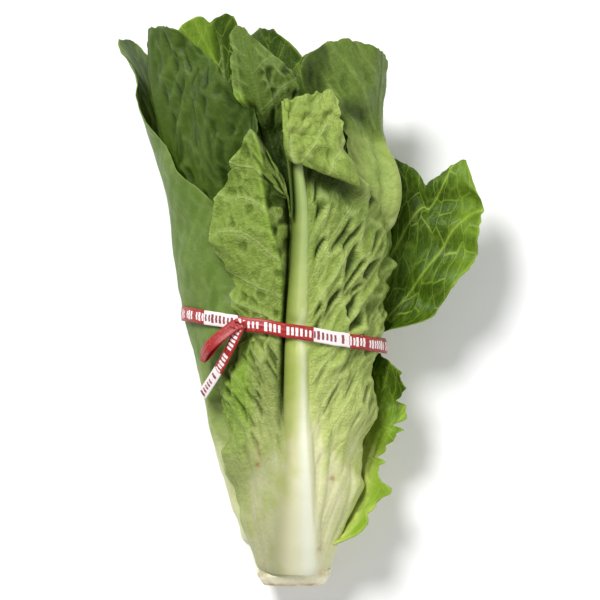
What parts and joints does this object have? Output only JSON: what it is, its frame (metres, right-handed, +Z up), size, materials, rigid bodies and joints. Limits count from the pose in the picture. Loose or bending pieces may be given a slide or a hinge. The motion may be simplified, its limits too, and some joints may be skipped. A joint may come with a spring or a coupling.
{
  "type": "romaine lettuce head",
  "caption": "Cut romaine lettuce head lying on its back leaf: long ribbed leaves in layers round a short stem, one side leaf open, held at the waist by a twist tie.",
  "frame": {"origin": "middle of the flat rest spot under the back leaf's rib, on the surface the head lies on", "axes": "+Y along the head from the cut stem to the leaf tips, +Z up from the surface, +X to the open side leaf"},
  "size_m": [0.2069, 0.3236, 0.1232],
  "materials": {
    "outer_leaf": "satin",
    "heart_leaf": "satin",
    "stem": "matte",
    "tie": "satin"
  },
  "bodies": {
    "root": {"stem": "stem", "twist_tie": "tie", "leaf_front": "outer_leaf", "leaf_back": "outer_leaf", "leaf_right_open": "outer_leaf", "leaf_left": "outer_leaf", "leaf_right": "outer_leaf", "leaf_upper_left": "outer_leaf", "leaf_crest": "outer_leaf", "leaf_back_left": "outer_leaf", "leaf_back_middle": "outer_leaf", "leaf_back_right": "outer_leaf", "leaf_heart_1": "heart_leaf", "leaf_heart_2": "heart_leaf", "leaf_heart_3": "heart_leaf", "leaf_heart_4": "heart_leaf"}
  },
  "joints": []
}
